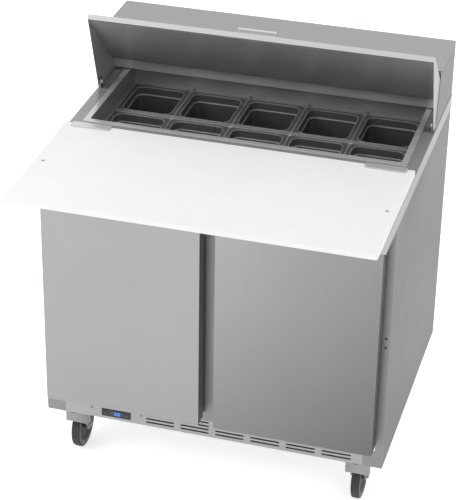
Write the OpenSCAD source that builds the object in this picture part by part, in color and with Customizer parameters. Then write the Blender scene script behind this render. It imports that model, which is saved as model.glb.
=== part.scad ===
// Sandwich prep table: a refrigerated cabinet on casters with a lidded pan rail and a cutting board.
// Millimetres, +Z up, front towards -Y, origin on the floor under the middle of the piece.

/* [Cabinet] */
// width across the side panels
cabinet_width = 914; // [860:2:960]
// depth from the front face to the back panel
cabinet_depth = 691; // [680:1:740]
// height from the underside of the cabinet to the worktop surface
cabinet_height = 750; // [740:2:780]
// thickness of the outer sheet
sheet = 1.2; // [0.8:0.1:1.5]
// thickness of the insulated side walls
wall = 51; // [45:1:55]
// height of the machine channel behind the front grille
channel_height = 50; // [48:1:54]

/* [Worktop and hood] */
// how far the worktop runs out in front of the cabinet
worktop_overhang = 140; // [110:5:150]
// depth of the turned-down edge
edge_height = 39.6; // [36:0.2:40]
// height of the rear hood over the worktop
hood_height = 154; // [152:1:158]
// where the top of the hood begins, from the front face
hood_front = 490; // [489:1:494]

/* [Lid] */
// how far the lid stands open as drawn, in degrees
lid_open = 72.3; // [60:0.1:72.3]
// distance from the front face to the lid pivot
pivot_y = 453; // [452.5:0.1:453.5]
// height of the lid pivot over the worktop
pivot_z = 16; // [15.8:0.1:17]
// width between the handle posts
handle_span = 96; // [70:2:110]

/* [Cutting board] */
// depth of the board
board_depth = 437.5; // [437:0.5:438]
// thickness of the board
board_thickness = 12.7; // [12:0.1:13]
// how far the board runs out in front of the cabinet
board_overhang = 240; // [238:0.5:242]

/* [Pans] */
// pans in each row
pans_across = 5; // [5:1:5]
// spacing of the pans along a row
pan_pitch = 162; // [160:0.5:163]
// length of a pan from front to back
pan_length = 172; // [168:0.5:172]
// depth of a pan
pan_depth = 100; // [65:5:110]
// depth of the pan flanges under the worktop
pan_drop = 54; // [50:1:56]

/* [Doors] */
// gap between the two doors
door_gap = 40; // [36:1:44]
// thickness of a door without its gasket
door_thickness = 42; // [38:1:42]
// thickness of the gasket
gasket_thickness = 10.5; // [10:0.1:10.6]

/* [Casters] */
// diameter of a wheel
wheel_diameter = 127; // [120:1:128]
// width of a tyre
wheel_width = 23; // [20:1:24]
// distance from the swivel axis to the wheel axle
trail = 35; // [33:1:38]

/* [Grille] */
// groups of slots across the grille
slot_groups = 6; // [4:1:6]
// slots in a group
slots_high = 4; // [2:1:4]

/* [Hidden] */
$fn = 48;
w2 = cabinet_width / 2;
in2 = w2 - wall;
plate_gap = 11;
gland_out = 3;
caster_height = 85 + wheel_diameter / 2;
top_z = cabinet_height + caster_height;
front_y = board_overhang - (board_overhang + cabinet_depth + gland_out) / 2;
floor_z = -cabinet_height;
channel_z = floor_z + channel_height;
sill_z = channel_z + 40;
head_z = -66;
ceiling_z = -pan_drop - 2;
step_y = 410;
step_z = -450;
bay_y = step_y + 30;
bay_z = step_z - 30;
back_y = 640;
mullion2 = 45;
well_front = 254;
well_back = 617;
well2 = 411;
well_lip2 = 400;
door_bottom = -680;
door_top = -45;
door_outer = w2 - 20;
door_inner = door_gap / 2;
door_back = -plate_gap;
door_front = door_back - door_thickness;
hinge_x = door_outer - 12;
hinge_y = door_back - 21;
pin_r = 4;
lid2 = w2 - 1.8;
lid_tilt = 27;
lid_front = [217.7, 13];
lid_edge = [224.2, 1.1];
lid_run = 286.6;
lid_radius = 128.5;
pivot_r = 14.9;
board2 = w2;
board_z = 0.3;
board_hole_x = 434;
board_hole_y = -26;
clip_x = 385;
row_y = [255, 433];
flange = 11;
axle_z = -(cabinet_height + caster_height) + wheel_diameter / 2;
caster_x = w2 - 70;
caster_y = [40, 590];
slot_z = floor_z + 28;
slot_pitch_x = 95.5;
slot_first_x = -141;
slot_length = 78;
controller_x = -263;
controller_z = floor_z + 20;
fan_x = 140;
fan_z = -615;
evap_z = -245;
shelf_z = -400;

// places children given from the cabinet's front face and the worktop surface
module placed() {
    translate([0, front_y, top_z]) children();
}

// a box between two corners
module block(a, b) {
    translate(a) cube(b - a);
}

// a flat shape in the YZ plane, run along X from x0 to x1
module run_x(x0, x1) {
    translate([x0, 0, 0])
        rotate([90, 0, 90])
            linear_extrude(x1 - x0) children();
}

// a cylinder along X
module rod_x(x0, x1, y, z, r, sides = 48) {
    translate([x0, y, z])
        rotate([0, 90, 0])
            cylinder(r = r, h = x1 - x0, $fn = sides);
}

// a cylinder along Y
module rod_y(y0, y1, x, z, r, sides = 48) {
    translate([x, y1, z])
        rotate([90, 0, 0])
            cylinder(r = r, h = y1 - y0, $fn = sides);
}

// a cylinder along Z
module rod_z(z0, z1, x, y, r, sides = 48) {
    translate([x, y, z0])
        cylinder(r = r, h = z1 - z0, $fn = sides);
}

// a rectangle with rounded corners, centred
module rounded(width, length, r) {
    square([width - 2 * r, length], center = true);
    square([width, length - 2 * r], center = true);
    for (i = [-1, 1], j = [-1, 1])
        translate([i * (width / 2 - r), j * (length / 2 - r)]) circle(r);
}

// a slot with round ends along X, cut through a sheet in Y
module slot_y(y0, y1, x, z, length, height) {
    block([x - length / 2 + height / 2, y0, z - height / 2],
        [x + length / 2 - height / 2, y1, z + height / 2]);
    for (i = [-1, 1])
        rod_y(y0, y1, x + i * (length / 2 - height / 2), z, height / 2, 24);
}

/* Cabinet */

module caster_spots() {
    for (i = [-1, 1], y = caster_y)
        translate([i * caster_x, y, 0]) children();
}

module bolt_spots() {
    caster_spots()
        for (i = [-1, 1], j = [-1, 1])
            translate([i * 28, j * 28, 0]) children();
}

module cabinet_shell() {
    color("silver") placed() {
        difference() {
            block([-w2, 0, floor_z], [w2, cabinet_depth, -sheet]);
            block([-w2 + sheet, sheet, floor_z + sheet], [w2 - sheet, cabinet_depth - sheet, 1]);
            for (i = [-1, 1])
                block([i > 0 ? mullion2 : -in2 + 1, -1, sill_z], [i > 0 ? in2 - 1 : -mullion2, 5, head_z]);
            block([-in2, -1, floor_z - 1], [in2, sheet + 0.01, channel_z]);
            // vents of the machine bay
            for (i = [-5 : 5], k = [0 : 5])
                slot_y(cabinet_depth - 5, cabinet_depth + 5, i * 62, floor_z + 60 + k * 30, 48, 8);
            rod_y(cabinet_depth - 5, cabinet_depth + 5, 370, floor_z + 28, 9);
            // spare hinge holes in both jambs
            for (i = [-1, 1], z = [-357.5, -384])
                rod_y(-1, sheet + 1, i * (w2 - 10), z, 2.5, 24);
            bolt_spots() rod_z(floor_z - 1, floor_z + sheet + 1, 0, 0, 4, 24);
        }
        // centre post between the door openings
        difference() {
            block([-mullion2, sheet, sill_z], [mullion2, 40, ceiling_z]);
            block([-mullion2 + sheet, sheet, sill_z - 1], [mullion2 - sheet, 40 - sheet, ceiling_z + 1]);
        }
    }
}

// the outline of the cold space in the YZ plane, grown by g
module cold_outline(g, front) {
    polygon([[front, sill_z - g], [step_y + g, sill_z - g], [step_y + g, step_z - g],
        [back_y + g, step_z - g], [back_y + g, ceiling_z + g], [front, ceiling_z + g]]);
}

module line_holes(z0, z1) {
    for (x = [-200, -170])
        rod_z(z0, z1, x, 600, 5, 24);
}

module insulation() {
    color("khaki") placed() difference() {
        block([-w2 + sheet, sheet, floor_z + sheet], [w2 - sheet, cabinet_depth - sheet, -sheet]);
        run_x(-in2, in2) cold_outline(1, 0);
        block([-in2, 0, floor_z], [in2, cabinet_depth, channel_z]);
        block([-in2, bay_y, floor_z], [in2, cabinet_depth, bay_z]);
        block([-well2 - 1, well_front - 1, -pan_drop - 1], [well2 + 1, well_back + 1, 1]);
        line_holes(bay_z - 1, step_z + 1);
    }
}

module liner() {
    color("gainsboro") placed() difference() {
        run_x(-in2, in2) cold_outline(1, sheet);
        run_x(-in2 + 1, in2 - 1) cold_outline(0, 0);
        block([-well_lip2, 262, ceiling_z - 1], [well_lip2, 600, ceiling_z + 3]);
        line_holes(step_z - 3, step_z + 1);
    }
}

/* Worktop */

module worktop() {
    edge = w2 + 1;
    color("silver") placed() {
        difference() {
            block([-edge, -worktop_overhang, -edge_height], [edge, cabinet_depth, 0]);
            block([-w2, 1 - worktop_overhang, -edge_height - 1], [w2, cabinet_depth + 1, -sheet]);
            block([-well2, well_front, -sheet - 1], [well2, well_back, 1]);
        }
        // return flange and stiffeners under the overhang
        block([-w2, 1 - worktop_overhang, -edge_height], [w2, 20 - worktop_overhang, 1 - edge_height]);
        for (x = [-300, -100, 100, 300])
            block([x, 1 - worktop_overhang, 1 - edge_height], [x + 1.5, -2, -sheet]);
    }
}

module well_trim() {
    color("whitesmoke") placed() difference() {
        block([-well2 - 15, well_front - 15, 0], [well2 + 15, well_back + 15, 1.8]);
        block([-well2, well_front, -1], [well2, well_back, 3]);
        for (i = [-1, 1], y = [well_front - 15, well_back + 15])
            translate([i * (well2 + 15), y, 1.8])
                rotate([0, 0, i * (y > well_back ? -45 : 45)])
                    cube([60, 0.5, 0.6], center = true);
    }
}

module pan_well() {
    color("gainsboro") placed() {
        difference() {
            block([-well2 - 1, well_front - 1, -pan_drop - 1], [well2 + 1, well_back + 1, -sheet]);
            block([-well2, well_front, -pan_drop], [well2, well_back, 1]);
            block([-well_lip2, 264.5, -pan_drop - 2], [well_lip2, 596.5, 1]);
        }
        // pan locating clips on the rear ledge
        for (k = [1 : pans_across - 1])
            translate([(k - pans_across / 2) * pan_pitch, 0, 0])
                block([-5, 607, -pan_drop], [5, well_back, 6 - pan_drop]);
    }
}

module divider_bar() {
    mid = (row_y[0] + pan_length + row_y[1]) / 2;
    color("whitesmoke") placed() {
        block([-well_lip2, mid - 12.5, -pan_drop - 3], [well_lip2, mid + 12.5, -pan_drop]);
        block([-well_lip2, mid - 2.4, -pan_drop], [well_lip2, mid + 2.4, 7 - pan_drop]);
    }
}

module rear_hood() {
    side = [[462.6, 0], [hood_front, hood_height], [cabinet_depth, hood_height], [cabinet_depth, 0]];
    color("silver") placed() {
        for (x = [-w2, w2 - sheet])
            run_x(x, x + sheet) polygon(side);
        block([-w2, hood_front, hood_height - sheet], [w2, cabinet_depth, hood_height]);
        block([-w2, hood_front, hood_height - 13], [w2, hood_front + sheet, hood_height - sheet]);
        block([-w2, cabinet_depth - sheet, 0], [w2, cabinet_depth, hood_height - sheet]);
    }
}

/* Front grille and controller */

module front_grille() {
    color("silver") placed() difference() {
        block([-in2 + 0.3, 0, floor_z], [in2 - 0.3, sheet, channel_z - 0.3]);
        for (g = [0 : slot_groups - 1], k = [0 : slots_high - 1])
            slot_y(-1, sheet + 1, slot_first_x + g * slot_pitch_x,
                slot_z + (k - (slots_high - 1) / 2) * 10.7, slot_length, 4.6);
        block([controller_x - 36, -1, controller_z - 8.5], [controller_x + 36, sheet + 1, controller_z + 8.5]);
        for (x = [-69, 69])
            rod_y(-1, sheet + 1, controller_x + x, floor_z + 28.7, 2, 24);
    }
}

module grille_screws() {
    color("dimgray") placed()
        for (x = [-69, 69]) {
            rod_y(-1.4, 0, controller_x + x, floor_z + 28.7, 3.6, 24);
            rod_y(0, 8, controller_x + x, floor_z + 28.7, 2, 24);
        }
}

module controller_body() {
    color([0.12, 0.12, 0.13]) placed() difference() {
        union() {
            block([controller_x - 40, -3, controller_z - 10.2], [controller_x + 40, 0, controller_z + 10.2]);
            block([controller_x - 36, 0, controller_z - 8.5], [controller_x + 36, 46, controller_z + 8.5]);
        }
        block([controller_x - 16, -4, controller_z - 6], [controller_x + 20, -2, controller_z + 6]);
        for (x = [-30, 30])
            rod_y(-4, 4, controller_x + x, controller_z, 2.6, 32);
    }
}

module controller_display() {
    color("midnightblue") placed()
        block([controller_x - 16, -2.6, controller_z - 6], [controller_x + 20, -2, controller_z + 6]);
}

module button(x) {
    color("gray") placed() rod_y(-4.2, 2.6, controller_x + x, controller_z, 2.5, 32);
}

module button_left() {
    button(-30);
}

module button_right() {
    button(30);
}

/* Lid, drawn shut and then swung open */

module swung() {
    placed()
        translate([0, pivot_y, pivot_z])
            rotate([-lid_open, 0, 0])
                translate([0, -pivot_y, -pivot_z]) children();
}

// places children on the lid's outer skin: y up the slope, z outward
module on_skin() {
    translate([0, lid_front[0], lid_front[1]]) rotate([lid_tilt, 0, 0]) children();
}

// points on an arc about the pivot
function arc_points(r, a0, a1, n) =
    [for (k = [0 : n]) let (a = a0 + (a1 - a0) * k / n) [pivot_y + r * cos(a), pivot_z + r * sin(a)]];

module lid_shell() {
    outer = concat([lid_edge, lid_front], arc_points(lid_radius, 81, 67, 4),
        arc_points(pivot_r, 0, -90, 6));
    inner = concat([[227.5, -4], [225.1, 1.6], [219.1, 12.6]], arc_points(lid_radius - 1, 80.8, 60, 5),
        [[540, -10]], [[227.5, -10]]);
    color("silver") swung() difference() {
        run_x(-lid2, lid2) polygon(outer);
        run_x(1 - lid2, lid2 - 1) polygon(inner);
        rod_x(-lid2 - 1, lid2 + 1, pivot_y, pivot_z, pin_r);
    }
}

module lid_core() {
    color("khaki") swung() on_skin()
        block([-lid2 + 1, 9, -14], [lid2 - 1, lid_run - 22, -1.3]);
}

module lid_liner() {
    color("dimgray") swung() on_skin()
        block([-lid2 + 1, 9, -15], [lid2 - 1, lid_run - 22, -14]);
}

module lid_handle() {
    half = handle_span / 2;
    color("whitesmoke") swung() on_skin() {
        block([-half - 9, 1, 0], [half + 9, 13, 1.5]);
        translate([0, 6, 0.8]) rotate([58, 0, 0]) {
            for (x = [-half, half])
                rod_z(2.8, 15, x, 0, 2.7, 24);
            rod_x(-half - 2.9, half + 2.9, 0, 15, 3, 24);
        }
    }
}

module lid_pins() {
    color("lightgray") placed()
        for (i = [0, 1]) mirror([i, 0, 0]) {
            rod_x(lid2 - 9.5, lid2 + 1.2, pivot_y, pivot_z, pin_r);
            rod_x(lid2 - 9.5, lid2 - 6.9, pivot_y, pivot_z, 7);
            rod_x(lid2, lid2 + 1.2, pivot_y, pivot_z, 6.5);
        }
}

module lid_brackets() {
    ear = lid2 - 6.2;
    color("darkgray") placed()
        for (i = [0, 1]) mirror([i, 0, 0]) {
            block([ear - 20, pivot_y - 14, 0], [ear + 3, pivot_y + 14, 2]);
            difference() {
                union() {
                    block([ear, pivot_y - 11, 0], [ear + 3, pivot_y + 11, pivot_z]);
                    rod_x(ear, ear + 3, pivot_y, pivot_z, 11);
                }
                rod_x(ear - 1, ear + 4, pivot_y, pivot_z, pin_r + 0.05);
            }
            for (y = [-8, 8])
                rod_z(2, 3.6, ear - 11, pivot_y + y, 3.2, 24);
        }
}

/* Cutting board */

module cutting_board() {
    back = board_depth - board_overhang;
    color("ivory") placed() difference() {
        translate([0, back - board_depth / 2, board_z])
            linear_extrude(board_thickness) rounded(2 * board2, board_depth, 5);
        for (i = [-1, 1])
            rod_z(-1, board_thickness + 2, i * board_hole_x, board_hole_y, pin_r + 1.2, 32);
        // round lower back edge, on which the board tips
        difference() {
            block([-w2 - 1, back - 6, board_z - 1], [w2 + 1, back + 1, board_z + 6]);
            rod_x(-w2 - 2, w2 + 2, back - 6, board_z + 6, 6);
        }
    }
}

module board_pins() {
    color("lightgray") placed()
        for (i = [-1, 1])
            rod_z(0, 10.5, i * board_hole_x, board_hole_y, pin_r, 32);
}

module board_clips() {
    color("lightgray") placed()
        for (i = [-1, 1]) translate([i * clip_x, 0, 0]) {
            block([-52, 199.2, 0], [52, 209.5, 1.6]);
            block([-52, 199.2, 1.6], [52, 200.8, 14.4]);
            block([-52, 177, 14.4], [52, 200.8, 16]);
            for (x = [-35, 35])
                rod_z(1.6, 2.8, x, 205.2, 3, 24);
        }
}

/* Doors: drawn on the right, mirrored for the left */

module hinge_bores() {
    rod_z(door_bottom - 1, door_bottom + 15, hinge_x, hinge_y, pin_r + 0.06);
    rod_z(door_top - 15, door_top + 1, hinge_x, hinge_y, pin_r + 0.06);
}

module door_skin() {
    color("silver") placed() difference() {
        block([door_inner, door_front, door_bottom], [door_outer, door_back, door_top]);
        block([door_inner + 1, door_front + 1, door_bottom + 1], [door_outer - 1, door_back + 1, door_top - 1]);
        hinge_bores();
    }
}

module door_core() {
    color("gainsboro") placed() difference() {
        union() {
            block([door_inner + 1, door_front + 1, door_bottom + 1], [door_outer - 1, door_back, door_top - 1]);
            block([62, door_back, sill_z + 20], [388, door_back + 5, head_z - 20]);
        }
        hinge_bores();
    }
}

module door_gasket() {
    color([0.25, 0.25, 0.26]) placed() difference() {
        block([26, door_back, -678], [hinge_x - 1, door_back + gasket_thickness, -49]);
        block([42, door_back - 1, sill_z - 2], [in2 + 2, 1, head_z + 1]);
    }
}

module left_door_skin() {
    mirror([1, 0, 0]) door_skin();
}

module left_door_core() {
    mirror([1, 0, 0]) door_core();
}

module left_door_gasket() {
    mirror([1, 0, 0]) door_gasket();
}

module right_door_skin() {
    door_skin();
}

module right_door_core() {
    door_core();
}

module right_door_gasket() {
    door_gasket();
}

module door_hinges() {
    low = door_bottom - 1;
    high = door_top + 1;
    color("lightgray") placed()
        for (i = [0, 1]) mirror([i, 0, 0]) {
            block([hinge_x - 11, hinge_y, low - 2.5], [hinge_x + 11, 0, low]);
            rod_z(low - 2.5, low, hinge_x, hinge_y, 11);
            block([hinge_x - 11, -1.5, low - 17], [hinge_x + 11, 0, low - 2.5]);
            rod_z(low, door_bottom + 13, hinge_x, hinge_y, pin_r);
            block([hinge_x - 11, hinge_y, high], [hinge_x + 11, 0, high + 2.5]);
            rod_z(high, high + 2.5, hinge_x, hinge_y, 11);
            block([hinge_x - 11, -1.5, high + 2.5], [hinge_x + 11, 0, high + 30]);
            rod_z(door_top - 13, high, hinge_x, hinge_y, pin_r);
        }
}

/* Shelves */

module wire_shelf() {
    x0 = 16;
    x1 = 386;
    y0 = 48;
    y1 = 424;
    color("lightgray") placed() {
        for (y = [y0, (y0 + y1) / 2, y1])
            rod_x(x0, x1, y, shelf_z, 3, 20);
        for (x = [x0, x1])
            rod_y(y0, y1, x, shelf_z, 3, 20);
        for (x = [x0, x1], y = [y0, y1])
            translate([x, y, shelf_z]) sphere(r = 3, $fn = 20);
        for (k = [1 : 14])
            rod_y(y0, y1, x0 + (x1 - x0) * k / 15, shelf_z + 2, 1.6, 16);
    }
}

module left_shelf() {
    mirror([1, 0, 0]) wire_shelf();
}

module right_shelf() {
    wire_shelf();
}

module shelf_supports() {
    under = shelf_z - 3.3;
    color("darkgray") placed()
        for (i = [0, 1]) mirror([i, 0, 0]) {
            for (y = [64, 350]) {
                block([in2 - 4, y, -640], [in2 - 1, y + 20, -120]);
                block([in2 - 26, y + 2, under - 5], [in2 - 4, y + 18, under]);
            }
            block([10, 40, under - 5], [40, 60, under]);
            block([8, 414, step_z], [30, 430, under]);
        }
}

/* Cold machine */

module compressor() {
    base = floor_z + sheet;
    color([0.15, 0.15, 0.16]) placed() {
        block([-330, 500, base], [-130, 660, base + 4]);
        translate([-230, 580, base + 4]) {
            cylinder(r = 76, h = 12);
            cylinder(r = 70, h = 120);
            translate([0, 0, 62]) cylinder(r = 73, h = 6);
            translate([0, 0, 120]) rotate_extrude()
                intersection() {
                    translate([0, -32]) circle(r = 77, $fn = 96);
                    square([70, 60]);
                }
        }
        block([-320, 560, base + 40], [-299, 600, base + 90]);
    }
}

module condenser_coil() {
    x0 = -10;
    x1 = 290;
    z0 = floor_z + sheet;
    color("darkgray") placed() {
        for (x = [x0, x1 - 1.5])
            block([x, 450, z0], [x + 1.5, 490, -500]);
        for (k = [1 : 24])
            block([x0 + (x1 - x0) * k / 25, 452, z0 + 8], [x0 + (x1 - x0) * k / 25 + 0.5, 488, -505]);
        for (k = [0 : 5])
            rod_x(x0 - 8, x1 + 8, 470, z0 + 22 + k * 40, 4.5, 24);
    }
}

module condenser_fan_frame() {
    color("gray") placed() {
        difference() {
            block([fan_x - 120, 496, floor_z + sheet], [fan_x + 120, 498, fan_z + 118]);
            rod_y(490, 500, fan_x, fan_z, 106, 96);
        }
        difference() {
            rod_y(498, 520, fan_x, fan_z, 108, 96);
            rod_y(490, 530, fan_x, fan_z, 106, 96);
        }
        // struts that carry the motor
        for (i = [-1, 1]) {
            block([fan_x - 112, 538, fan_z + i * 20 - 4], [fan_x + 112, 540, fan_z + i * 20 + 4]);
            for (j = [-1, 1])
                block([fan_x + j * 114 - 2, 498, fan_z + i * 20 - 4], [fan_x + j * 114 + 2, 540, fan_z + i * 20 + 4]);
        }
        rod_y(540, 590, fan_x, fan_z, 34);
        difference() {
            rod_y(527, 540, fan_x, fan_z, 22);
            rod_y(500, 537, fan_x, fan_z, 12.4);
        }
    }
}

// a propeller with its axis along Y and its middle at the origin
module propeller(r, hub, blades, shaft) {
    rod_y(-8, 8, 0, 0, hub);
    rod_y(8, 8 + shaft, 0, 0, hub / 2);
    for (k = [0 : blades - 1])
        rotate([0, k * 360 / blades, 0])
            translate([hub - 2, 0, 0])
                rotate([28, 0, 0])
                    block([0, -0.8, -r * 0.2], [r - hub, 0.8, r * 0.2]);
}

module condenser_fan_blade() {
    color([0.2, 0.2, 0.22]) placed() translate([fan_x, 509, fan_z]) propeller(98, 22, 5, 17);
}

module evaporator() {
    z0 = evap_z - 55;
    z1 = evap_z + 55;
    color("silver") placed() {
        difference() {
            block([-140, 548, z0], [240, back_y, z1]);
            block([-138, 550, z0 + 2], [238, back_y - 1, z1 - 2]);
            rod_y(540, 555, 50, evap_z, 47, 64);
            for (k = [0 : 5])
                slot_y(540, 555, -80, evap_z - 35 + k * 14, 80, 6);
            for (k = [0 : 5])
                slot_y(540, 555, 180, evap_z - 35 + k * 14, 80, 6);
            for (x = [-118, -88])
                rod_z(z0 - 1, z0 + 3, x, 600, 4.2, 24);
        }
        for (x = [-118, -88])
            difference() {
                rod_z(z0 - 6, z0 + 1, x, 600, 6, 24);
                rod_z(z0 - 7, z0 + 2, x, 600, 4.2, 24);
            }
        // coil behind the fan
        for (k = [0 : 3])
            rod_x(-138, 238, 622, evap_z - 36 + k * 24, 4.5, 24);
        for (k = [1 : 15])
            block([-138 + 376 * k / 16, 612, z0 + 2], [-137 + 376 * k / 16, 632, z1 - 2]);
        // motor on a strut
        block([40, 600, z0 + 2], [60, 604, z1 - 2]);
        difference() {
            rod_y(568, 600, 50, evap_z, 20);
            rod_y(560, 580, 50, evap_z, 5.4);
        }
    }
}

module evaporator_fan_blade() {
    color([0.2, 0.2, 0.22]) placed() translate([50, 552, evap_z]) propeller(44, 10, 5, 18);
}

// a tube through a list of points, with round elbows
module tube(points, r) {
    for (k = [0 : len(points) - 2]) {
        d = points[k + 1] - points[k];
        l = norm(d);
        translate(points[k])
            rotate([0, acos(d[2] / l), atan2(d[1], d[0])])
                cylinder(r = r, h = l, $fn = 20);
    }
    for (k = [1 : len(points) - 2])
        translate(points[k]) sphere(r = r + 0.6, $fn = 20);
}

module refrigerant_lines() {
    low = evap_z - 61;
    crown = floor_z + sheet + 4 + 165;
    tail = floor_z + sheet + 22;
    color("peru") placed() {
        tube([[-118, 600, low + 2], [-118, 600, low - 20], [-200, 600, low - 20], [-200, 600, -520],
            [-230, 580, -520], [-230, 580, crown]], 3.5);
        tube([[-88, 600, low + 2], [-88, 600, low - 34], [-170, 600, low - 34], [-170, 600, -500],
            [-90, 540, -500], [-90, 470, -500], [-90, 470, tail], [-18, 470, tail]], 3);
        tube([[-160, 580, -690], [-60, 580, -690], [-60, 470, -690],
            [-60, 470, tail + 200], [-18, 470, tail + 200]], 3);
    }
}

module cord_gland() {
    color([0.12, 0.12, 0.13]) placed() difference() {
        union() {
            rod_y(cabinet_depth, cabinet_depth + gland_out, 370, floor_z + 28, 14);
            rod_y(cabinet_depth - 8, cabinet_depth, 370, floor_z + 28, 9);
        }
        rod_y(cabinet_depth - 10, cabinet_depth + 5, 370, floor_z + 28, 5);
    }
}

/* Casters */

module caster_plates() {
    color("silver") placed() {
        caster_spots() {
            block([-34, -34, floor_z - 3], [34, 34, floor_z]);
            rod_z(floor_z - 7, floor_z - 3, 0, 0, 24);
            rod_z(floor_z - 14, floor_z - 7, 0, 0, 6);
            rod_z(floor_z - 14, floor_z - 11.1, 0, 0, 10, 6);
        }
        bolt_spots() {
            rod_z(floor_z - 6.5, floor_z - 3, 0, 0, 5.5, 6);
            rod_z(floor_z, floor_z + sheet, 0, 0, 4, 24);
        }
    }
}

module fork(x, y) {
    top = floor_z - 7.4;
    legs = [[-26, top - 3], [30, top - 3], [trail + 14, axle_z], [trail - 14, axle_z]];
    color("gray") placed() translate([x, y, 0]) {
        difference() {
            rod_z(floor_z - 66, top, 0, 0, 32.5);
            rod_z(floor_z - 70, top - 3, 0, 0, 30);
            rod_z(floor_z - 20, top + 1, 0, 0, 6.05);
            rod_y(-50, 50, 0, floor_z - 72, 37);
            block([-16, -10, floor_z - 80], [16, 50, top - 6]);
        }
        for (i = [0, 1]) mirror([i, 0, 0]) {
            difference() {
                union() {
                    run_x(15.5, 18.5) polygon(legs);
                    rod_x(15.5, 18.5, trail, axle_z, 14);
                }
                rod_x(10, 20, trail, axle_z, pin_r);
            }
            rod_x(18.5, 24, trail, axle_z, 8, 6);
        }
        rod_x(-20, 20, trail, axle_z, pin_r);
    }
}

module wheel(x, y) {
    r = wheel_diameter / 2;
    h = wheel_width / 2;
    profile = [[pin_r + 0.06, -h - 2.5], [9, -h - 2.5], [11, -h + 4], [r - 21, -h + 5], [r - 17, -h + 1],
        [r - 15, -h], [r - 4, -h], [r - 1.3, -h + 1.3], [r, -h + 4], [r, h - 4], [r - 1.3, h - 1.3],
        [r - 4, h], [r - 15, h], [r - 17, h - 1], [r - 21, h - 5], [11, h - 4], [9, h + 2.5],
        [pin_r + 0.06, h + 2.5]];
    color([0.13, 0.13, 0.14]) placed() translate([x, y + trail, axle_z])
        rotate([0, 90, 0]) rotate_extrude($fn = 96) polygon(profile);
}

module front_left_fork() {
    fork(-caster_x, caster_y[0]);
}

module front_right_fork() {
    fork(caster_x, caster_y[0]);
}

module rear_left_fork() {
    fork(-caster_x, caster_y[1]);
}

module rear_right_fork() {
    fork(caster_x, caster_y[1]);
}

module front_left_wheel() {
    wheel(-caster_x, caster_y[0]);
}

module front_right_wheel() {
    wheel(caster_x, caster_y[0]);
}

module rear_left_wheel() {
    wheel(-caster_x, caster_y[1]);
}

module rear_right_wheel() {
    wheel(caster_x, caster_y[1]);
}

/* Pans */

module pan(row, k) {
    width = pan_pitch - 1;
    body_w = width - 2 * flange;
    body_l = pan_length - 2 * flange;
    x = (k - (pans_across + 1) / 2) * pan_pitch;
    color("gray") placed() translate([x, row_y[row] + pan_length / 2, -pan_drop]) difference() {
        union() {
            translate([0, 0, 0.3]) linear_extrude(1) rounded(width, pan_length, 9);
            translate([0, 0, -22]) linear_extrude(22.3) rounded(body_w, body_l, 22);
            translate([0, 0, -pan_depth]) linear_extrude(pan_depth - 22) rounded(body_w - 6, body_l - 6, 20);
        }
        translate([0, 0, -21]) linear_extrude(30) rounded(body_w - 2, body_l - 2, 21);
        translate([0, 0, 1 - pan_depth]) linear_extrude(pan_depth) rounded(body_w - 8, body_l - 8, 19);
    }
}

module pan_front_1() {
    pan(0, 1);
}

module pan_front_2() {
    pan(0, 2);
}

module pan_front_3() {
    pan(0, 3);
}

module pan_front_4() {
    pan(0, 4);
}

module pan_front_5() {
    pan(0, 5);
}

module pan_rear_1() {
    pan(1, 1);
}

module pan_rear_2() {
    pan(1, 2);
}

module pan_rear_3() {
    pan(1, 3);
}

module pan_rear_4() {
    pan(1, 4);
}

module pan_rear_5() {
    pan(1, 5);
}

cabinet_shell();
insulation();
liner();
worktop();
well_trim();
pan_well();
divider_bar();
rear_hood();
front_grille();
grille_screws();
controller_body();
controller_display();
button_left();
button_right();
lid_shell();
lid_core();
lid_liner();
lid_handle();
lid_pins();
lid_brackets();
cutting_board();
board_pins();
board_clips();
left_door_skin();
left_door_core();
left_door_gasket();
right_door_skin();
right_door_core();
right_door_gasket();
door_hinges();
left_shelf();
right_shelf();
shelf_supports();
compressor();
condenser_coil();
condenser_fan_frame();
condenser_fan_blade();
evaporator();
evaporator_fan_blade();
refrigerant_lines();
cord_gland();
caster_plates();
front_left_fork();
front_right_fork();
rear_left_fork();
rear_right_fork();
front_left_wheel();
front_right_wheel();
rear_left_wheel();
rear_right_wheel();
pan_front_1();
pan_front_2();
pan_front_3();
pan_front_4();
pan_front_5();
pan_rear_1();
pan_rear_2();
pan_rear_3();
pan_rear_4();
pan_rear_5();
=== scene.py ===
import math

import bmesh
import bpy
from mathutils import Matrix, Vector


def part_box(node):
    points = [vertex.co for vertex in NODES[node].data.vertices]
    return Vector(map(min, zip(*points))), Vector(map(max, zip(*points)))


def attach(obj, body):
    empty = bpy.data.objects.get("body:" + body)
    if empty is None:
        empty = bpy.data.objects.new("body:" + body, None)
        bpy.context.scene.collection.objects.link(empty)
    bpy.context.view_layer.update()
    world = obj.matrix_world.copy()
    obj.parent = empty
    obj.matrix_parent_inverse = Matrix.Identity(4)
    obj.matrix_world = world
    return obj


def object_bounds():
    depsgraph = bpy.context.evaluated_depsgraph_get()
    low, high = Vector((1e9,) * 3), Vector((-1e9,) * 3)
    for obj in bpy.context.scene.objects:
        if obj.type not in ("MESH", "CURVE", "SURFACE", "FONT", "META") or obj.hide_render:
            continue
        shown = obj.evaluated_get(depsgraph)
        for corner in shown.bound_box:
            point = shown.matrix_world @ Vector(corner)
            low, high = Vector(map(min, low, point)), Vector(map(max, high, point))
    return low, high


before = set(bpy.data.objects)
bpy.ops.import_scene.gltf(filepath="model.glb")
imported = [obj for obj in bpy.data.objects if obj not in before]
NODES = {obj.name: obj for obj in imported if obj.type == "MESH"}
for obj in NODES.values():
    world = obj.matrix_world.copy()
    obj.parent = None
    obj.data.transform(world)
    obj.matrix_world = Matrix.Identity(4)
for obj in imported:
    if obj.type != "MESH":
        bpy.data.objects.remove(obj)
CAD_LOW, CAD_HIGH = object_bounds()

# ---------------------------------------------------------------- material helpers

EVEN = (1, 1, 1)
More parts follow.
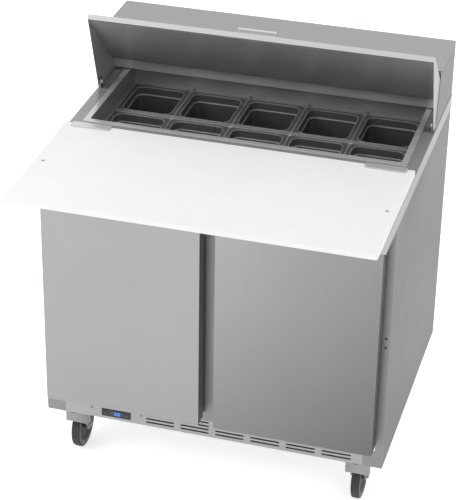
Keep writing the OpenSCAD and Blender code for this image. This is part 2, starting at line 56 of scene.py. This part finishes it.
# scales that draw a texture out into lines along x or z
ALONG = {"x": (0.035, 1.0, 1.0), "z": (1.0, 1.0, 0.035)}
EDGE_RADIUS = 0.0009
EDGE_SAMPLES = 4
SMUDGE_SHADE = 0.9
FINE_GRAIN_SHARE = 0.35
GRAZING_TINT = 0.5
PLATED_METALLIC = 0.85
PLASTIC_EDGE = 1.3
WHEEL_TREAD = 0.016
WHEEL_RING = 0.10
WHEEL_BLUE = 1.03
WHEEL_DUST = (0.11, 0.105, 0.1)


def shade(colour, level):
    return tuple(min(c * level, 1) for c in colour)


class Shader:
    """A Principled material with a few shorthand nodes."""

    def __init__(self, name):
        self.material = bpy.data.materials.new(name)
        self.material.use_nodes = True
        self.tree = self.material.node_tree
        self.bsdf = self.tree.nodes["Principled BSDF"]
        coordinates = self.node("ShaderNodeTexCoord")
        self.place = coordinates.outputs["Object"]
        self.normal = coordinates.outputs["Normal"]

    def node(self, kind, **values):
        made = self.tree.nodes.new(kind)
        for key, value in values.items():
            setattr(made, key, value)
        return made

    def link(self, source, target):
        self.tree.links.new(source, target)

    def stretched(self, stretch, offset=(0, 0, 0)):
        mapping = self.node("ShaderNodeMapping")
        mapping.inputs["Scale"].default_value = stretch
        mapping.inputs["Location"].default_value = offset
        self.link(self.place, mapping.inputs["Vector"])
        return mapping.outputs["Vector"]

    def noise(self, scale, stretch=EVEN, detail=3.0, rough=0.55):
        tex = self.node("ShaderNodeTexNoise")
        tex.inputs["Scale"].default_value = scale
        tex.inputs["Detail"].default_value = detail
        tex.inputs["Roughness"].default_value = rough
        self.link(self.stretched(stretch), tex.inputs["Vector"])
        return tex.outputs["Fac"]

    def cells(self, scale):
        tex = self.node("ShaderNodeTexVoronoi", feature="DISTANCE_TO_EDGE")
        tex.inputs["Scale"].default_value = scale
        self.link(self.stretched(EVEN), tex.inputs["Vector"])
        return tex.outputs["Distance"]

    def span(self, value, low, high, start=0.3, end=0.7):
        """low to high, as the value goes from start to end."""
        made = self.node("ShaderNodeMapRange")
        made.inputs["From Min"].default_value = start
        made.inputs["From Max"].default_value = end
        made.inputs["To Min"].default_value = low
        made.inputs["To Max"].default_value = high
        self.link(value, made.inputs["Value"])
        return made.outputs["Result"]

    def tint(self, colour, value, dark, light, start=0.3, end=0.7):
        """The colour, scaled from dark to light as the value goes from start to end."""
        made = self.node("ShaderNodeMix", data_type="RGBA")
        made.inputs["A"].default_value = (*shade(colour, dark), 1)
        made.inputs["B"].default_value = (*shade(colour, light), 1)
        self.link(self.span(value, 0, 1, start, end), made.inputs["Factor"])
        return made.outputs["Result"]

    def mix(self, factor, first, second):
        """second over first where factor is 1; second may be a colour or a socket."""
        made = self.node("ShaderNodeMix", data_type="RGBA")
        self.link(factor, made.inputs["Factor"])
        self.link(first, made.inputs["A"])
        if isinstance(second, tuple):
            made.inputs["B"].default_value = (*second, 1)
        else:
            self.link(second, made.inputs["B"])
        return made.outputs["Result"]

    def edges(self, radius=EDGE_RADIUS):
        """1 at outer edges and 0 on flat faces."""
        bevel = self.node("ShaderNodeBevel", samples=EDGE_SAMPLES)
        bevel.inputs["Radius"].default_value = radius
        geometry = self.node("ShaderNodeNewGeometry")
        apart = self.node("ShaderNodeVectorMath", operation="DISTANCE")
        self.link(bevel.outputs["Normal"], apart.inputs[0])
        self.link(geometry.outputs["Normal"], apart.inputs[1])
        return self.span(apart.outputs["Value"], 0, 1, start=0.08, end=0.6)

    def across(self, node, axis):
        """0 at one corner of a node's box and 1 at the opposite one, along an axis."""
        low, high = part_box(node)
        axis = Vector(axis)
        ends = [
            sum(min(low[k] * axis[k], high[k] * axis[k]) for k in range(3)),
            sum(max(low[k] * axis[k], high[k] * axis[k]) for k in range(3)),
        ]
        along = self.node("ShaderNodeVectorMath", operation="DOT_PRODUCT")
        along.inputs[1].default_value = axis
        self.link(self.place, along.inputs[0])
        return self.span(along.outputs["Value"], 0, 1, *ends)

    def facing(self, axis, low, high):
        """low where a face is edge-on to the axis, high where it faces along it."""
        split = self.node("ShaderNodeSeparateXYZ")
        size = self.node("ShaderNodeMath", operation="ABSOLUTE")
        self.link(self.normal, split.inputs["Vector"])
        self.link(split.outputs[axis], size.inputs[0])
        return self.span(size.outputs["Value"], low, high, start=0.5, end=0.9)

    def bump(self, height, strength, distance):
        made = self.node("ShaderNodeBump")
        made.inputs["Strength"].default_value = strength
        made.inputs["Distance"].default_value = distance
        self.link(height, made.inputs["Height"])
        self.link(made.outputs["Normal"], self.bsdf.inputs["Normal"])

    def set(self, **values):
        for key, value in values.items():
            self.bsdf.inputs[key.replace("_", " ")].default_value = value

    def feed(self, **sockets):
        for key, socket in sockets.items():
            self.link(socket, self.bsdf.inputs[key.replace("_", " ")])


def brushed(name, colour, grain, rough=(0.3, 0.42), streak=0.012, edge_brightening=1.25, patches=3.0,
            metal=0.85, fade=None, side=None, edge_width=EDGE_RADIUS):
    """Brushed sheet metal: fine grain along one axis, faint streaks, smudges and paler edges (wear, and a
    painted highlight where strong).

    fade is (node, axis, darkest): painted shade, the colour darkening from one corner of the node's box to
    the other.
    side is (axis, low, high, darkest): painted shade, faces edge-on to the axis darkened by low, faces
    along it by high.
    rub is the width of the paler edges."""
    s = Shader(name)
    streaks = s.noise(70, ALONG[grain], detail=4, rough=0.65)
    fine = s.noise(620, ALONG[grain], detail=3, rough=0.6)
    smudge = s.noise(patches, detail=4, rough=0.5)
    grained = s.tint(colour, streaks, 1 - streak, 1 + streak)
    haze = s.span(smudge, 0, 0.22, start=0.42, end=0.72)
    smudged_and_shaded = s.mix(haze, grained, shade(colour, SMUDGE_SHADE))
    # Painted shade: fade darkens the colour across a node's box, side darkens faces by the way they point.
    if fade:
        smudged_and_shaded = s.mix(s.across(*fade[:2]), smudged_and_shaded, shade(colour, fade[2]))
    if side:
        smudged_and_shaded = s.mix(s.facing(*side[:3]), smudged_and_shaded, shade(colour, side[3]))
    # Paler edges: wear, and a painted highlight where the lightening is strong, as on the pan rims.
    edged = s.mix(s.edges(edge_width), smudged_and_shaded, shade(colour, edge_brightening))
    mixed = s.node("ShaderNodeMath", operation="MULTIPLY_ADD")
    mixed.inputs[1].default_value = FINE_GRAIN_SHARE
    s.link(fine, mixed.inputs[0])
    s.link(smudge, mixed.inputs[2])
    s.feed(Base_Color=edged, Roughness=s.span(mixed.outputs["Value"], *rough, start=0.45, end=0.95))
    s.bump(fine, 0.1, 0.0003)
    s.set(Metallic=metal, Specular_Tint=(GRAZING_TINT, GRAZING_TINT, GRAZING_TINT, 1))
    return s.material


def cast_metal(name, colour, rough=(0.4, 0.6), edge_brightening=1.5):
    """Plated or painted metal with a pebbled skin, handling marks and rubbed edges."""
    s = Shader(name)
    pebble = s.noise(500, detail=2, rough=0.5)
    marks = s.noise(28, detail=5, rough=0.6)
    stained = s.tint(colour, marks, 0.82, 1.12)
    edged = s.mix(s.edges(), stained, shade(colour, edge_brightening))
    s.feed(Base_Color=edged, Roughness=s.span(marks, *rough))
    s.bump(pebble, 0.18, 0.0004)
    s.set(Metallic=PLATED_METALLIC)
    return s.material


def moulded(name, colour, rough=(0.45, 0.62), grain=900, light=1.25, coat=0.0, dark=0.85):
    """Moulded plastic or rubber with a fine texture and dusty variation."""
    s = Shader(name)
    texture = s.cells(grain)
    dust = s.noise(22, detail=5, rough=0.6)
    dusty = s.tint(colour, dust, dark, light)
    edged = s.mix(s.edges(), dusty, shade(shade(colour, light), PLASTIC_EDGE))
    s.feed(Base_Color=edged, Roughness=s.span(dust, *rough))
    s.bump(texture, 0.15, 0.0003)
    s.set(Coat_Weight=coat)
    return s.material


def cutting_plastic(name, colour):
    """White polyethylene with a pebbled face, faint crossing knife marks and light inside it."""
    s = Shader(name)
    pebble = s.noise(700, detail=2, rough=0.5)
    cuts_a = s.noise(160, (0.04, 1, 1), detail=2, rough=0.5)
    cuts_b = s.noise(140, (1, 0.05, 1), detail=2, rough=0.5)
    cloud = s.noise(6, detail=4, rough=0.5)
    crossed = s.node("ShaderNodeMath", operation="MULTIPLY")
    s.link(s.span(cuts_a, 0, 1, start=0.62, end=0.74), crossed.inputs[0])
    s.link(s.span(cuts_b, 0.35, 1, start=0.4, end=0.7), crossed.inputs[1])
    clean = s.tint(colour, cloud, 0.975, 1.01)
    # Painted shade: the board's upright edge faces are darkened to 0.82 of its colour.
    upright_darkened = s.mix(s.facing("Z", 1, 0), clean, shade(colour, 0.82))
    knifed = s.span(crossed.outputs["Value"], 0, 0.35, start=0, end=1)
    s.feed(Base_Color=s.mix(knifed, upright_darkened, shade(colour, 0.86)), Roughness=s.span(pebble, 0.42, 0.56))
    height = s.node("ShaderNodeMath", operation="SUBTRACT")
    s.link(pebble, height.inputs[0])
    s.link(crossed.outputs["Value"], height.inputs[1])
    s.bump(height.outputs["Value"], 0.12, 0.0004)
    s.set(Subsurface_Weight=0.06, Subsurface_Scale=0.004)
    return s.material


def foam(name, colour):
    """Cut face of poured insulation, with small cells."""
    s = Shader(name)
    pores = s.cells(420)
    cloud = s.noise(35, detail=4, rough=0.6)
    cut = s.tint(colour, cloud, 0.88, 1.06)
    holes = s.span(pores, 0.35, 0, start=0.0, end=0.12)
    s.feed(Base_Color=s.mix(holes, cut, shade(colour, 0.55)), Roughness=s.span(cloud, 0.75, 0.92))
    s.bump(pores, 0.4, 0.0008)
    return s.material


def caster_wheel(name, node):
    """Rubber tread, a paler side ring and a dark recess, told apart by distance from the axle."""
    low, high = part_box(node)
    centre = (low + high) / 2
    radius = (high.z - low.z) / 2
    s = Shader(name)
    away = s.node("ShaderNodeVectorMath", operation="LENGTH")
    flat = s.stretched((0, 1, 1), (0, -centre.y, -centre.z))
    s.link(flat, away.inputs[0])
    bands = s.node("ShaderNodeValToRGB")
    s.link(s.span(away.outputs["Value"], 0, 1, start=0, end=radius), bands.inputs["Fac"])
    # share of the radius, and how pale the rubber is there
    recess = [(0.0, WHEEL_TREAD), (0.66, WHEEL_TREAD)]
    stops = recess + [(0.7, WHEEL_RING), (0.9, WHEEL_RING), (0.94, WHEEL_TREAD)]
    elements = bands.color_ramp.elements
    while len(elements) < len(stops):
        elements.new(1.0)
    for element, (at, level) in zip(elements, stops):
        element.position = at
        element.color = (level, level, level * WHEEL_BLUE, 1)
    dust = s.noise(45, detail=5, rough=0.65)
    scuffed = s.mix(s.span(dust, 0, 0.3, start=0.5, end=0.8), bands.outputs["Color"], WHEEL_DUST)
    s.feed(Base_Color=scuffed, Roughness=s.span(dust, 0.5, 0.75))
    s.bump(s.noise(520, detail=3, rough=0.6), 0.2, 0.0004)
    return s.material


def glowing(name, colour, strength):
    """Lit display segments with a slightly uneven glow."""
    s = Shader(name)
    glow = s.noise(900, detail=2, rough=0.5)
    lit = s.tint(colour, glow, 0.85, 1.1)
    s.feed(Base_Color=lit, Emission_Color=lit, Roughness=s.span(glow, 0.3, 0.4))
    s.set(Emission_Strength=strength)
    return s.material


# ---------------------------------------------------------------- materials of the CAD nodes

SHEET_TINT = (0.985, 0.99, 1.0)


def sheet_colour(level):
    return shade(SHEET_TINT, level)


MADE = {
    # Painted shade: the shell's upright faces are darkened to 0.7 of its colour.
    "shell": brushed("steel_shell", sheet_colour(0.34), "z", side=("Z", 1, 0, 0.7)),
    # Painted shade: each door darkens across its skin, the right one to 0.42 of its colour towards the
    # lower right.
    "door_left": brushed(
        "steel_door_left", sheet_colour(0.33), "z", fade=("left_door_skin", (0.3, 0, -1), 0.93),
    ),
    "door_right": brushed(
        "steel_door_right", sheet_colour(0.33), "z", fade=("right_door_skin", (1.2, 0, -1), 0.42),
    ),
    "plinth": brushed("steel_plinth", sheet_colour(0.34), "x"),
    "top": brushed("steel_top", sheet_colour(0.40), "x", rough=(0.28, 0.4), metal=0.5),
    # Painted shade: the hood's upright faces are darkened to 0.55 of its colour.
    "hood": brushed("steel_hood", sheet_colour(0.5), "x", side=("Z", 1, 0, 0.55)),
    # Painted shade: the lid's faces that look along x are darkened to 0.9 of its colour.
    "lid": brushed(
        "steel_lid", sheet_colour(0.57), "x", rough=(0.3, 0.4), side=("X", 0, 1, 0.9), metal=0.6,
    ),
    "liner": brushed("steel_liner", sheet_colour(0.5), "z", rough=(0.3, 0.45)),
    # Painted highlight: the rim steel is made much paler than the other sheets, for the light along the
    # front rim.
    "rim": brushed("steel_rim", sheet_colour(0.78), "x", rough=(0.22, 0.32), metal=0.6),
    "bar": brushed("steel_bar", sheet_colour(0.66), "x", rough=(0.18, 0.3), metal=0.75),
    "well": brushed("steel_well", sheet_colour(0.37), "x", rough=(0.3, 0.42), metal=0.5),
    # The pans are dark, partly painted shade for their deep insides; their rims, paled six times, are a
    # painted highlight.
    "pan": brushed(
        "steel_pan", sheet_colour(0.155), "z",
        rough=(0.26, 0.4), streak=0.01, edge_brightening=6.0, patches=9.0, metal=0.45, edge_width=0.003,
    ),
    "lid_inside": brushed(
        "steel_lid_inside", sheet_colour(0.5), "x",
        rough=(0.1, 0.17), streak=0.02, edge_brightening=1.4, patches=14.0, metal=0.6,
    ),
    "fin": brushed("fin_metal", sheet_colour(0.5), "z", rough=(0.35, 0.5)),
    "zinc": cast_metal("zinc_plate", (0.30, 0.30, 0.305)),
    "screw": cast_metal("screw_steel", (0.20, 0.20, 0.205), rough=(0.3, 0.45)),
    "enamel": cast_metal("black_enamel", (0.02, 0.02, 0.022), rough=(0.3, 0.45), edge_brightening=3.0),
    "wire": cast_metal("coated_wire", (0.55, 0.55, 0.56), rough=(0.3, 0.4), edge_brightening=1.2),
    "foam": foam("foam", (0.83, 0.74, 0.48)),
    "door_liner": moulded(
        "door_liner", (0.8, 0.8, 0.78), rough=(0.35, 0.5), grain=600, light=1.01, dark=0.97,
    ),
    "board": cutting_plastic("board_plastic", (0.86, 0.865, 0.865)),
    "black": moulded("black_plastic", (0.018, 0.018, 0.019), rough=(0.4, 0.55)),
    "key": moulded("grey_key", (0.09, 0.09, 0.095), rough=(0.4, 0.5)),
    "blade": moulded("fan_blade", (0.05, 0.05, 0.055), rough=(0.4, 0.55)),
    "gasket": moulded("gasket_rubber", (0.075, 0.075, 0.08), rough=(0.55, 0.75), grain=500),
    "copper": brushed(
        "copper_tube", (0.62, 0.30, 0.17), "z", rough=(0.25, 0.45), streak=0.12, edge_brightening=1.3, patches=30.0,
    ),
    "lens": moulded(
        "display_lens", (0.006, 0.012, 0.04), rough=(0.08, 0.16), grain=1500, light=1.2, coat=0.6,
    ),
}

FINISH = {
    "cabinet_shell": "shell",
    "insulation": "foam",
    "liner": "liner",
    "worktop": "top",
    "well_trim": "rim",
    "pan_well": "well",
    "divider_bar": "bar",
    "rear_hood": "hood",
    "front_grille": "plinth",
    "grille_screws": "screw",
    "controller_body": "black",
    "controller_display": "lens",
    "button_left": "key",
    "button_right": "key",
    "lid_shell": "lid",
    "lid_core": "lid_inside",
    "lid_liner": "lid_inside",
    "lid_handle": "bar",
    "lid_pins": "bar",
    "lid_brackets": "zinc",
    "cutting_board": "board",
    "board_pins": "bar",
    "board_clips": "rim",
    "door_hinges": "rim",
    "left_shelf": "wire",
    "right_shelf": "wire",
    "shelf_supports": "zinc",
    "compressor": "enamel",
    "condenser_coil": "fin",
    "condenser_fan_frame": "zinc",
    "condenser_fan_blade": "blade",
    "evaporator": "fin",
    "evaporator_fan_blade": "blade",
    "refrigerant_lines": "copper",
    "cord_gland": "black",
    "caster_plates": "zinc",
}
for side in ("left", "right"):
    FINISH[side + "_door_skin"] = "door_" + side
    FINISH[side + "_door_core"] = "door_liner"
    FINISH[side + "_door_gasket"] = "gasket"

for name, piece in NODES.items():
    if name.endswith("_wheel"):
        finish = caster_wheel("caster_" + name, name)
    elif name.endswith("_fork"):
        finish = MADE["zinc"]
    elif name.startswith("pan_") and name != "pan_well":
        finish = MADE["pan"]
    else:
        finish = MADE[FINISH[name]]
    piece.data.materials.clear()
    piece.data.materials.append(finish)

# ---------------------------------------------------------------- softened edges

ROUNDED = {
    "cutting_board": 0.0014,
    "worktop": 0.0004,
    "rear_hood": 0.0004,
    "left_door_skin": 0.0004,
    "right_door_skin": 0.0004,
    "well_trim": 0.0004,
    "controller_body": 0.0008,
    "compressor": 0.001,
}
WELD_DISTANCE = 0.00001
BEVEL_SEGMENTS = 3
BEVEL_ANGLE = math.radians(40)


def soften(piece, width):
    weld = piece.modifiers.new("weld", "WELD")
    weld.merge_threshold = WELD_DISTANCE
    bevel = piece.modifiers.new("bevel", "BEVEL")
    bevel.width = width
    bevel.segments = BEVEL_SEGMENTS
    bevel.limit_method = "ANGLE"
    bevel.angle_limit = BEVEL_ANGLE


for name, width in ROUNDED.items():
    soften(NODES[name], width)

# ---------------------------------------------------------------- pieces made here


def outward_mesh(name, bm):
    """The mesh of a finished bmesh, with its faces turned outwards."""
    bmesh.ops.recalc_face_normals(bm, faces=bm.faces)
    mesh = bpy.data.meshes.new(name)
    bm.to_mesh(mesh)
    bm.free()
    return mesh


def linked(name, mesh, material):
    mesh.materials.append(material)
    piece = bpy.data.objects.new(name, mesh)
    bpy.context.scene.collection.objects.link(piece)
    return piece


# ---------------------------------------------------------------- lit numbers on the display

SEGMENTS = {"3": "abcdg", "8": "abcdefg"}
DIGIT_TEXT = "38"
DIGIT_HEIGHT = 0.0092
DIGIT_WIDTH = 0.0052
DIGIT_STROKE = 0.0011
DIGIT_GAP = 0.0042
DIGIT_LIFT = 0.00025
DIGIT_BLUE = (0.05, 0.22, 0.95)
DIGIT_GLOW = 2.2
# how far a segment stops short of its corner, in half strokes
SEGMENT_INSET = 1.3


def segment_outline(key):
    """Corners of one hexagonal segment, about the middle of a digit."""
    w, h, t = DIGIT_WIDTH / 2, DIGIT_HEIGHT / 2, DIGIT_STROKE / 2
    flat = {"a": h, "g": 0.0, "d": -h}
    if key in flat:
        z, x = flat[key], w - t * SEGMENT_INSET
        above = [(-x, z), (-x + t, z + t), (x - t, z + t)]
        below = [(x, z), (x - t, z - t), (-x + t, z - t)]
        return above + below
    x = -w if key in "ef" else w
    low, high = ((0.0, h) if key in "bf" else (-h, 0.0))
    low, high = low + t * SEGMENT_INSET, high - t * SEGMENT_INSET
    right = [(x, low), (x + t, low + t), (x + t, high - t)]
    left = [(x, high), (x - t, high - t), (x - t, low + t)]
    return right + left


def display_numbers():
    low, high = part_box("controller_display")
    centre = (low + high) / 2
    bm = bmesh.new()
    step = DIGIT_WIDTH + DIGIT_GAP
    for index, digit in enumerate(DIGIT_TEXT):
        x0 = centre.x + (index - (len(DIGIT_TEXT) - 1) / 2) * step
        for key in SEGMENTS[digit]:
            outline = segment_outline(key)
            front = [bm.verts.new((x0 + x, low.y - DIGIT_LIFT, centre.z + z)) for x, z in outline]
            back = [bm.verts.new((v.co.x, low.y, v.co.z)) for v in front]
            bm.faces.new(front)
            bm.faces.new(back[::-1])
            for k in range(len(front)):
                n = (k + 1) % len(front)
                bm.faces.new((front[n], front[k], back[k], back[n]))
    mesh = outward_mesh("display_numbers", bm)
    piece = linked("display_numbers", mesh, glowing("display_glow", DIGIT_BLUE, DIGIT_GLOW))
    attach(piece, "cabinet")


display_numbers()

# ---------------------------------------------------------------- plugs in the spare hinge holes

PLUG_X = 0.447
PLUG_LIFT = 0.0009
PLUG_RADIUS = 0.0034
PLUG_DROPS = (-0.3575, -0.384)
PLUG_RINGS = 5
PLUG_STEPS = 24
SHEET_GAUGE = 0.0012


def hole_plug(name, x, y, z):
    """A domed push-in plug, facing the front."""
    bm = bmesh.new()
    rows = []
    for k in range(PLUG_RINGS):
        angle = k / PLUG_RINGS * math.pi / 2
        r, out = PLUG_RADIUS * math.cos(angle), PLUG_LIFT * math.sin(angle)
        turns = [2 * math.pi * n / PLUG_STEPS for n in range(PLUG_STEPS)]
        rows.append([bm.verts.new((x + r * math.cos(t), y - out, z + r * math.sin(t))) for t in turns])
    tip = bm.verts.new((x, y - PLUG_LIFT, z))
    for lower, upper in zip(rows, rows[1:]):
        for n in range(PLUG_STEPS):
            m = (n + 1) % PLUG_STEPS
            bm.faces.new((lower[n], lower[m], upper[m], upper[n]))
    for n in range(PLUG_STEPS):
        bm.faces.new((rows[-1][n], rows[-1][(n + 1) % PLUG_STEPS], tip))
    bm.faces.new(rows[0][::-1])
    mesh = outward_mesh(name, bm)
    mesh.shade_smooth()
    piece = linked(name, mesh, MADE["black"])
    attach(piece, "cabinet")


def hole_plugs():
    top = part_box("pan_well")[1].z
    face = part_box("cabinet_shell")[0].y
    for side, sign in (("left", -1), ("right", 1)):
        for row, drop in enumerate(PLUG_DROPS, 1):
            hole_plug(f"hole_plug_{side}_{row}", sign * PLUG_X, face, top + SHEET_GAUGE + drop)


hole_plugs()

# ---------------------------------------------------------------- floor, light and camera

WHITE = (1.0, 1.0, 1.0)
FLOOR_COLOUR = (0.93, 0.93, 0.93)
FLOOR_SIZE = 60.0
FLOOR_GLOW = 0.6
FLOOR_DROP = 0.0005
SKY_OVERHEAD = 1.0
SKY_LEVEL = 0.8
SKY_FULL_HEIGHT = 0.8
KEY_PLACE = (-2.6, -2.4, 3.2)
KEY_AIM = (0, 0, 0.5)
KEY_SIZE = 2.0
KEY_POWER = 40
CAMERA_PLACE = (1.151, -4.191, 3.0815)
CAMERA_TILT = math.radians(60.13)
CAMERA_TURN = math.radians(17.59)
CAMERA_LENS = 138.0
CAMERA_SENSOR = 36.0
CAMERA_SHIFT = (0.1116, 0.0034)
CAMERA_REACH = 100.0


def floor():
    s = Shader("studio_floor")
    grain = s.noise(1.5, detail=3, rough=0.5)
    pale = s.tint(FLOOR_COLOUR, grain, 0.995, 1.0)
    s.feed(Base_Color=pale, Emission_Color=pale, Roughness=s.span(grain, 0.85, 0.9))
    s.set(Emission_Strength=FLOOR_GLOW, Specular_IOR_Level=0.0)
    mesh = bpy.data.meshes.new("studio_floor")
    half = FLOOR_SIZE / 2
    z = CAD_LOW.z - FLOOR_DROP
    corners = [(-half, -half, z), (half, -half, z), (half, half, z), (-half, half, z)]
    mesh.from_pydata(corners, [], [(0, 1, 2, 3)])
    sheet = linked("studio_floor", mesh, s.material)


def surroundings():
    """A pale studio that is brightest overhead."""
    world = bpy.data.worlds.new("studio")
    bpy.context.scene.world = world
    world.use_nodes = True
    tree = world.node_tree
    place = tree.nodes.new("ShaderNodeTexCoord")
    split = tree.nodes.new("ShaderNodeSeparateXYZ")
    tree.links.new(place.outputs["Generated"], split.inputs["Vector"])
    rise = tree.nodes.new("ShaderNodeMapRange")
    rise.inputs["From Min"].default_value = 0.0
    rise.inputs["From Max"].default_value = SKY_FULL_HEIGHT
    rise.inputs["To Min"].default_value = SKY_LEVEL
    rise.inputs["To Max"].default_value = SKY_OVERHEAD
    tree.links.new(split.outputs["Z"], rise.inputs["Value"])
    background = tree.nodes["Background"]
    background.inputs["Color"].default_value = (*WHITE, 1)
    tree.links.new(rise.outputs["Result"], background.inputs["Strength"])


def key_softbox():
    data = bpy.data.lights.new("key", "AREA")
    data.shape = "RECTANGLE"
    data.size, data.size_y = KEY_SIZE, KEY_SIZE
    data.energy = KEY_POWER
    lamp = bpy.data.objects.new("key", data)
    lamp.location = KEY_PLACE
    lamp.visible_camera = False
    towards = Vector(KEY_AIM) - Vector(KEY_PLACE)
    lamp.rotation_euler = towards.to_track_quat("-Z", "Y").to_euler()
    bpy.context.scene.collection.objects.link(lamp)


def camera():
    data = bpy.data.cameras.new("camera")
    data.sensor_width = CAMERA_SENSOR
    data.lens = CAMERA_LENS
    data.shift_x, data.shift_y = CAMERA_SHIFT
    data.clip_end = CAMERA_REACH
    cam = bpy.data.objects.new("camera", data)
    cam.location = CAMERA_PLACE
    cam.rotation_euler = (CAMERA_TILT, 0.0, CAMERA_TURN)
    bpy.context.scene.collection.objects.link(cam)
    bpy.context.scene.camera = cam


bpy.context.scene.view_settings.view_transform = "Standard"
floor()
surroundings()
key_softbox()
camera()

# ---------------------------------------------------------------- final update

bpy.context.view_layer.update()
